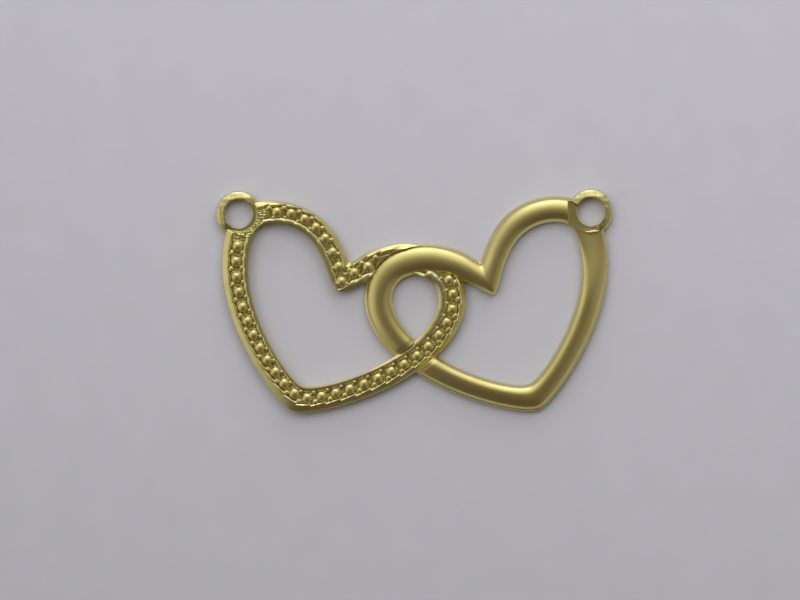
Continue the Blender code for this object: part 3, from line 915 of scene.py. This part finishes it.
def ring_section():
    """Share of the way from hole to edge, share of the top height, free and pressed.

    The walls have height 0 to 1 as a share of the height at their own end.
    """
    share = np.linspace(0, 1, RING_DOME_STEPS)
    wall = np.linspace(0, 1, RING_WALL_STEPS)[:-1]
    across = np.concatenate([np.zeros(len(wall)), share, np.ones(len(wall)), RING_BACK])
    rise = np.concatenate([wall, np.ones(len(share)), wall[::-1], np.zeros(len(RING_BACK))])
    free, pressed = (np.interp(across, *np.array(table).T) * rise
                     for table in (FREE_RING, PRESSED_RING))
    return across, free, pressed


print("points across a ring:", len(ring_section()[0]))

# %% [markdown]
# The ring is this section turned round the hole, and one weight, 1 towards the heart and
# 0 away from it, blends between the free section and the pressed one. Angles are in
# degrees from the right. The plain heart's ring is a little thin on its right, where the
# punch landed off its middle, and the free part of both has shallow dents.

# %% Build the eyelets
RING_RADIUS, RING_HEIGHT, RING_STEPS = 2.05 * MM, 1.35 * MM, 180
BEADED_RING = {"pressed_radius": COLLAR_RADIUS, "pressed_height": COLLAR_HEIGHT,
               "heart_side": -45.0, "full": 52.0, "none": 96.0, "thin_side": 0.0}
PLAIN_RING = {"pressed_radius": 1.50 * MM, "pressed_height": PAD_HEIGHT + 0.01 * MM,
              "heart_side": 225.0, "full": 64.0, "none": 76.0, "thin_side": 0.14 * MM}
THIN_WIDTH = 40.0
DENT_LENGTH, DENT_DEPTH = 1.3 * MM, 0.05 * MM
TOP_SHARE, RING_POLISH_HIGHLIGHT, POLISH_HIGHLIGHT_WIDTH = 0.5, 0.5, 0.1


def build_ring(name, heart, shape):
    """Radius = hole + (outside - hole) * across; height = free or pressed section, blended."""
    centre = ring_centre(heart)
    turn = np.arange(RING_STEPS) * tau / RING_STEPS
    away = np.degrees(np.abs((turn - radians(shape["heart_side"]) + pi) % tau - pi))
    weight = 1 - smooth_step(shape["full"], shape["none"], away)[:, None]
    across, free, pressed = ring_section()
    past_right = np.degrees((turn + pi) % tau - pi)
    full_radius = RING_RADIUS - shape["thin_side"] * bump(past_right, THIN_WIDTH)[:, None]
    outside = full_radius + (shape["pressed_radius"] - full_radius) * weight
    radius = HOLE_RADIUS + (outside - HOLE_RADIUS) * across
    height = RING_HEIGHT * free * (1 - weight) + shape["pressed_height"] * pressed * weight
    x = centre[0] + radius * np.cos(turn)[:, None]
    y = centre[1] + radius * np.sin(turn)[:, None]
    on_top = free > TOP_SHARE
    dent = DENT_DEPTH * (1 + roughness(np.stack([x, y], axis=-1), DENT_LENGTH)) / 2
    height = height - dent * (1 - weight) * on_top
    # A paler band at the hole's edge on the free top: partly rubbed polish, partly painted highlight.
    crest = RING_POLISH_HIGHLIGHT * bump(across, POLISH_HIGHLIGHT_WIDTH) * on_top + np.zeros_like(x)
    return closed_skin(name, np.stack([x, y, height], axis=-1),
                       {"recess": np.zeros_like(x), "crest": crest})


beaded_ring = build_ring("beaded_ring", BEADED, BEADED_RING)
plain_ring = build_ring("plain_ring", PLAIN, PLAIN_RING)

# %% [markdown]
# ## Nodes from a script
#
# A finish is drawn with shader nodes. In the editor one would drag each node in and wire
# it up; in a script the same takes many lines. This helper makes a node, sets its
# options, and fills its inputs: an output of another node is linked, and anything else is
# written as the input's own value.

# %% Node helper
def add_node(tree, kind, inputs, **options):
    """A new node of a tree, with its options and with its inputs linked or written."""
    node = tree.nodes.new(kind)
    for label, value in options.items():
        setattr(node, label, value)
    for label, value in inputs.items():
        if isinstance(value, bpy.types.NodeSocket):
            tree.links.new(value, node.inputs[label])
        else:
            node.inputs[label].default_value = value
    return node


# %% [markdown]
# ## Raw brass
#
# Unplated brass that has been tumbled is satin, not mirror bright. Its colour drifts in
# soft patches, the hollows are painted darker and browner as shade, and the rims are
# painted paler, partly as polish where they rub against cloth and partly as highlight.
# Photographs wrapped round the pieces would stretch over them. Noise on Object
# coordinates and the marks made with the meshes fit any shape. All three effects show on
# every piece, so they are one node group, placed in each material with its own colours.
# The group puts out a colour, a roughness and a grain height; the shader itself stays in
# the material.

# %% Brass finish group
GROUP_INPUTS = {"Body": "NodeSocketColor", "Patch": "NodeSocketColor",
                "Recess Shade": "NodeSocketColor", "Polish Highlight": "NodeSocketColor",
                "Satin": "NodeSocketFloat", "Patch Scale": "NodeSocketFloat",
                "Grain Scale": "NodeSocketFloat"}
GROUP_OUTPUTS = {"Color": "NodeSocketColor", "Roughness": "NodeSocketFloat",
                 "Height": "NodeSocketFloat"}
PATCH_DETAIL, GRAIN_DETAIL = 3, 4
PATCH_COVER = (0.35, 0.70, 0, 1)
# The recess mark lays on painted shade, and the crest mark lays on polish with painted highlight.
RECESS_SHADE_COVER, POLISH_HIGHLIGHT_COVER = (0, 1, 0, 0.75), (0.2, 1, 0, 0.8)
PATCH_DULLS, RECESS_DULLS, POLISH_SHINES = (0.3, 0.7, -0.04, 0.05), (0, 1, 0, 0.14), (0, 1, 0, -0.06)


def brass_finish_group():
    """Colour = mix(body, patch, noise), then painted shade by recess, and polish with painted
    highlight by crest.

    Roughness = satin + patches + recess - polish. Each remap takes a range to another one.
    """
    group = bpy.data.node_groups.new("raw_brass_finish", "ShaderNodeTree")
    for label, kind in GROUP_INPUTS.items():
        group.interface.new_socket(label, in_out="INPUT", socket_type=kind)
    for label, kind in GROUP_OUTPUTS.items():
        group.interface.new_socket(label, in_out="OUTPUT", socket_type=kind)
    given = group.nodes.new("NodeGroupInput").outputs
    where = group.nodes.new("ShaderNodeTexCoord").outputs["Object"]

    def noise(scale, detail):
        inputs = {"Vector": where, "Scale": scale, "Detail": detail}
        return add_node(group, "ShaderNodeTexNoise", inputs).outputs["Fac"]

    def remap(value, ranges):
        labels = ("From Min", "From Max", "To Min", "To Max")
        inputs = {"Value": value, **dict(zip(labels, ranges))}
        return add_node(group, "ShaderNodeMapRange", inputs).outputs["Result"]

    def mix(share, first, second):
        inputs = {"Factor": share, "A": first, "B": second}
        return add_node(group, "ShaderNodeMix", inputs, data_type="RGBA").outputs["Result"]

    def mark(label):
        return add_node(group, "ShaderNodeAttribute", {}, attribute_name=label).outputs["Fac"]

    def total(first, second):
        return add_node(group, "ShaderNodeMath", {0: first, 1: second}).outputs[0]

    patches = noise(given["Patch Scale"], PATCH_DETAIL)
    grain = noise(given["Grain Scale"], GRAIN_DETAIL)
    recess, crest = mark("recess"), mark("crest")
    body = mix(remap(patches, PATCH_COVER), given["Body"], given["Patch"])
    # Painted shade darkens the hollows, and the rims get a paler polish that is partly painted
    # highlight.
    recess_shaded = mix(remap(recess, RECESS_SHADE_COVER), body, given["Recess Shade"])
    polish_highlighted = mix(remap(crest, POLISH_HIGHLIGHT_COVER), recess_shaded, given["Polish Highlight"])
    worn = total(remap(recess, RECESS_DULLS), remap(crest, POLISH_SHINES))
    uneven = total(remap(patches, PATCH_DULLS), worn)
    rough = total(given["Satin"], uneven)
    add_node(group, "NodeGroupOutput", {"Color": polish_highlighted, "Roughness": rough, "Height": grain})
    return group


BRASS_FINISH = brass_finish_group()
print(BRASS_FINISH.name, "has", len(BRASS_FINISH.nodes), "nodes")

# %% [markdown]
# Four brasses differ a little: the struck band, the beads, which polishing hardly reaches
# between the rims, the half-round band and the punched eyelets. One metal with one
# roughness would be simpler, but it would make the charm look cast in one pour. The
# grain is finer than the mesh can hold, so it alone is a bump.

# %% Brass materials
# The darker, browner colour is painted shade for the hollows. The pale one is partly polish and
# partly painted highlight.
RECESS_SHADE_COLOUR, POLISH_HIGHLIGHT_COLOUR = (0.58, 0.55, 0.23, 1), (0.95, 0.90, 0.50, 1)
PATCH_SCALE, GRAIN_SCALE = 450.0, 9000.0
GRAIN_STRENGTH, GRAIN_DEPTH = 0.25, 0.01 * MM


def brass_material(name, body, patch, satin):
    """A metal whose colour, roughness and grain are the group's three outputs."""
    material = bpy.data.materials.new(name)
    material.use_nodes = True
    tree = material.node_tree
    values = {"Body": (*body, 1), "Patch": (*patch, 1), "Recess Shade": RECESS_SHADE_COLOUR,
              "Polish Highlight": POLISH_HIGHLIGHT_COLOUR, "Satin": satin, "Patch Scale": PATCH_SCALE,
              "Grain Scale": GRAIN_SCALE}
    finish = add_node(tree, "ShaderNodeGroup", values, node_tree=BRASS_FINISH).outputs
    bumps = {"Height": finish["Height"], "Strength": GRAIN_STRENGTH, "Distance": GRAIN_DEPTH}
    grain = add_node(tree, "ShaderNodeBump", bumps).outputs["Normal"]
    shader = tree.nodes["Principled BSDF"]
    shader.inputs["Metallic"].default_value = 1.0
    tree.links.new(finish["Color"], shader.inputs["Base Color"])
    tree.links.new(finish["Roughness"], shader.inputs["Roughness"])
    tree.links.new(grain, shader.inputs["Normal"])
    print(name, "has a roughness of about", satin)
    return material


struck = brass_material("struck_brass", (0.82, 0.73, 0.29), (0.75, 0.67, 0.25), 0.30)
pearled = brass_material("pearled_brass", (0.84, 0.75, 0.31), (0.77, 0.69, 0.27), 0.39)
drawn = brass_material("half_round_brass", (0.80, 0.71, 0.28), (0.74, 0.64, 0.24), 0.32)
punched = brass_material("punched_brass", (0.82, 0.73, 0.30), (0.75, 0.67, 0.26), 0.30)

# %% [markdown]
# ## Put the pieces on the frame
#
# Every new piece is given its brass, rides on the charm's one body, and stands for the solid
# that it dresses, which is hidden. Parenting by hand would do for a picture; these calls do
# it for every piece.

# %% Fit the pieces
def fit(piece, material, node):
    """Give a piece its brass, and let it ride on the body in place of a solid."""
    piece.data.materials.append(material)
    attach(piece, "root")
    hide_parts(node)
    print(piece.name, "stands for", node)


fit(beaded_band, struck, "beaded_heart")
for piece in (bead_row, seed_beads, nub_beads):
    fit(piece, pearled, "beaded_heart")
fit(plain_band, drawn, "plain_heart")
fit(beaded_ring, punched, "beaded_heart_eyelet")
fit(plain_ring, punched, "plain_heart_eyelet")

# %% [markdown]
# ## Paper, light and camera
#
# The charm lies on pale grey paper. A plain colour would look like plastic, so a fine
# noise gives it fibres. The lamps' fall-off across the sheet is painted into its colour:
# it is darker towards the lower edge and a little to the left, measured along a direction
# in the sheet. The sheet lies a hair below the charm's back: two faces at one height would
# flicker through each other.

# %% Paper
PAPER_SIDE, PAPER_LEVEL = 1000 * MM, -0.02 * MM
PAPER_DEEP, PAPER_PALE = (0.452, 0.450, 0.485, 1), (0.484, 0.482, 0.519, 1)
PAPER_ROUGHNESS, PAPER_GLOSS, FIBRE_SCALE = 0.9, 0.2, 300.0
# Painted light fall-off: the paper's colour is scaled from 0.90 towards the lower edge to 1.09
# towards the upper edge.
FALLOFF_TOWARDS, FALLOFF_REACH = (0.25, 1, 0), 36 * MM
PAINTED_FALLOFF_LOW, PAINTED_FALLOFF_HIGH = 0.90, 1.09


def paper_material():
    """Colour = mix(deep, pale, noise) times a painted light fall-off that grows evenly with (x / 4 +
    y).
    """
    material = bpy.data.materials.new("pale_paper")
    material.use_nodes = True
    tree = material.node_tree
    where = tree.nodes.new("ShaderNodeTexCoord").outputs["Object"]
    fibres = add_node(tree, "ShaderNodeTexNoise", {"Vector": where, "Scale": FIBRE_SCALE})
    colours = {"Factor": fibres.outputs["Fac"], "A": PAPER_DEEP, "B": PAPER_PALE}
    mixed = add_node(tree, "ShaderNodeMix", colours, data_type="RGBA").outputs["Result"]
    # The painted light fall-off across the sheet starts here.
    way = add_node(tree, "ShaderNodeVectorMath", {0: where, 1: FALLOFF_TOWARDS}, operation="DOT_PRODUCT")
    ranges = {"Value": way.outputs["Value"], "From Min": -FALLOFF_REACH, "From Max": FALLOFF_REACH,
              "To Min": PAINTED_FALLOFF_LOW, "To Max": PAINTED_FALLOFF_HIGH}
    painted_falloff = add_node(tree, "ShaderNodeMapRange", ranges).outputs["Result"]
    falloff_painted = add_node(tree, "ShaderNodeVectorMath", {0: mixed, "Scale": painted_falloff}, operation="SCALE")
    shader = tree.nodes["Principled BSDF"]
    shader.inputs["Roughness"].default_value = PAPER_ROUGHNESS
    shader.inputs["Specular IOR Level"].default_value = PAPER_GLOSS
    tree.links.new(falloff_painted.outputs["Vector"], shader.inputs["Base Color"])
    return material


def build_paper():
    """A flat square on the floor, just under the charm's back."""
    corners = PAPER_SIDE / 2 * np.array(((-1, -1, 0), (1, -1, 0), (1, 1, 0), (-1, 1, 0)))
    corners[:, 2] = PAPER_LEVEL
    paper = make_mesh("paper", corners, [(0, 1, 2, 3)], {})
    paper.data.materials.append(paper_material())
    print("the paper is", round(paper.dimensions.x, 2), "m wide")


build_paper()

# %% [markdown]
# Satin brass shows its room as long soft gradients, so the room matters more than the
# lamps. It is grey, with a large light patch beyond the charm's upper edge, a weaker one
# to the left, a faint one to the right, and a darker part beyond its lower edge. Panels
# could stand round the charm, but a patch in the world's colour has a soft border and
# casts no shadow: each adds its light where a direction is nearer to its own than "wide"
# degrees, and adds all of it nearer than "full". The camera sees a plain pale room.

# %% Room
ROOM_LIGHT = (0.20, 0.172, 0.155)
ROOM_PATCHES = (
    {"towards": (0.0, 0.93, 0.37), "wide": 57, "full": 4, "light": (1.06, 1.09, 1.15)},
    {"towards": (0.0, 0.95, 0.31), "wide": 24, "full": 6, "light": (0.85, 0.92, 1.04)},
    {"towards": (-0.93, 0.0, 0.37), "wide": 52, "full": 10, "light": (0.50, 0.51, 0.52)},
    {"towards": (0.95, 0.0, 0.31), "wide": 60, "full": 20, "light": (0.12, 0.12, 0.12)},
    {"towards": (0.0, -0.80, 0.60), "wide": 74, "full": 24, "light": (-0.10, -0.09, -0.085)},
)
SEEN_ROOM = (0.80, 0.80, 0.81, 1)


def add_patch(tree, where, light, patch):
    """Light so far plus the patch's light times a smooth step of cos(angle)."""
    towards = np.array(patch["towards"]) / np.linalg.norm(patch["towards"])
    near = add_node(tree, "ShaderNodeVectorMath", {0: where, 1: towards}, operation="DOT_PRODUCT")
    ranges = {"Value": near.outputs["Value"], "From Min": cos(radians(patch["wide"])),
              "From Max": cos(radians(patch["full"]))}
    share = add_node(tree, "ShaderNodeMapRange", ranges, interpolation_type="SMOOTHSTEP")
    parts = {0: share.outputs["Result"], 1: patch["light"], 2: light}
    return add_node(tree, "ShaderNodeVectorMath", parts, operation="MULTIPLY_ADD").outputs["Vector"]


def build_room():
    """World colour: ROOM_LIGHT plus every patch, and SEEN_ROOM where the camera looks."""
    world = bpy.data.worlds.new("soft_room")
    bpy.context.scene.world = world
    world.use_nodes = True
    tree = world.node_tree
    where = tree.nodes.new("ShaderNodeTexCoord").outputs["Generated"]
    light = add_node(tree, "ShaderNodeCombineXYZ", dict(zip("XYZ", ROOM_LIGHT))).outputs["Vector"]
    for patch in ROOM_PATCHES:
        light = add_patch(tree, where, light, patch)
    lit = tree.nodes["Background"]
    tree.links.new(light, lit.inputs["Color"])
    seen = add_node(tree, "ShaderNodeBackground", {"Color": SEEN_ROOM})
    by_camera = tree.nodes.new("ShaderNodeLightPath").outputs["Is Camera Ray"]
    shaders = {"Fac": by_camera, 1: lit.outputs["Background"], 2: seen.outputs["Background"]}
    chosen = add_node(tree, "ShaderNodeMixShader", shaders).outputs["Shader"]
    tree.links.new(chosen, tree.nodes["World Output"].inputs["Surface"])
    print("the room has", len(ROOM_PATCHES), "patches")


build_room()

# %% [markdown]
# Two large lamps give the charm its soft shadow on the paper. They are left out of
# reflections, because the brass would show them as hard squares beside the room's soft
# patches. The view transform stays plain, so that colours come out as they were chosen.

# %% Lamps
LAMPS = {"overhead": {"place": (0.06, 0.13, 0.27), "power": 0.27, "size": 0.18},
         "left": {"place": (-0.16, 0.10, 0.44), "power": 0.84, "size": 0.30}}


def soft_lamp(name, place, power, size):
    """A large square lamp turned to the charm and left out of reflections."""
    lamp = bpy.data.lights.new(name, "AREA")
    lamp.energy, lamp.size = power, size
    light = bpy.data.objects.new(name, lamp)
    bpy.context.scene.collection.objects.link(light)
    light.location = place
    light.rotation_euler = (-light.location).to_track_quat("-Z", "Y").to_euler()
    light.visible_glossy = False
    print(name, "lamp:", power, "W")


for lamp_name, lamp_values in LAMPS.items():
    soft_lamp(lamp_name, **lamp_values)
bpy.context.scene.view_settings.view_transform = "Standard"

# %% [markdown]
# The camera looks straight down from half a metre, high enough that the sides of so flat
# a thing hardly show. An orthographic camera would show none of them, but a photograph
# does a little. The lens follows from the width of paper that should be in view, and the
# small turn is how the charm lies in the picture.

# %% Camera
CAMERA_HEIGHT = 500 * MM
VIEW_WIDTH = 72.8 * MM
VIEW_CENTRE = (-1.37 * MM, 0.10 * MM)
CHARM_TURN = radians(0.315)


def build_camera():
    """Straight down; the lens is the sensor's width times height / view width."""
    camera = bpy.data.cameras.new("camera")
    camera.lens = camera.sensor_width * CAMERA_HEIGHT / VIEW_WIDTH
    camera.clip_start = 1 * MM
    holder = bpy.data.objects.new("camera", camera)
    bpy.context.scene.collection.objects.link(holder)
    holder.location = (*VIEW_CENTRE, CAMERA_HEIGHT)
    holder.rotation_euler = (0, 0, -CHARM_TURN)
    bpy.context.scene.camera = holder
    print("lens:", round(camera.lens), "mm")


build_camera()
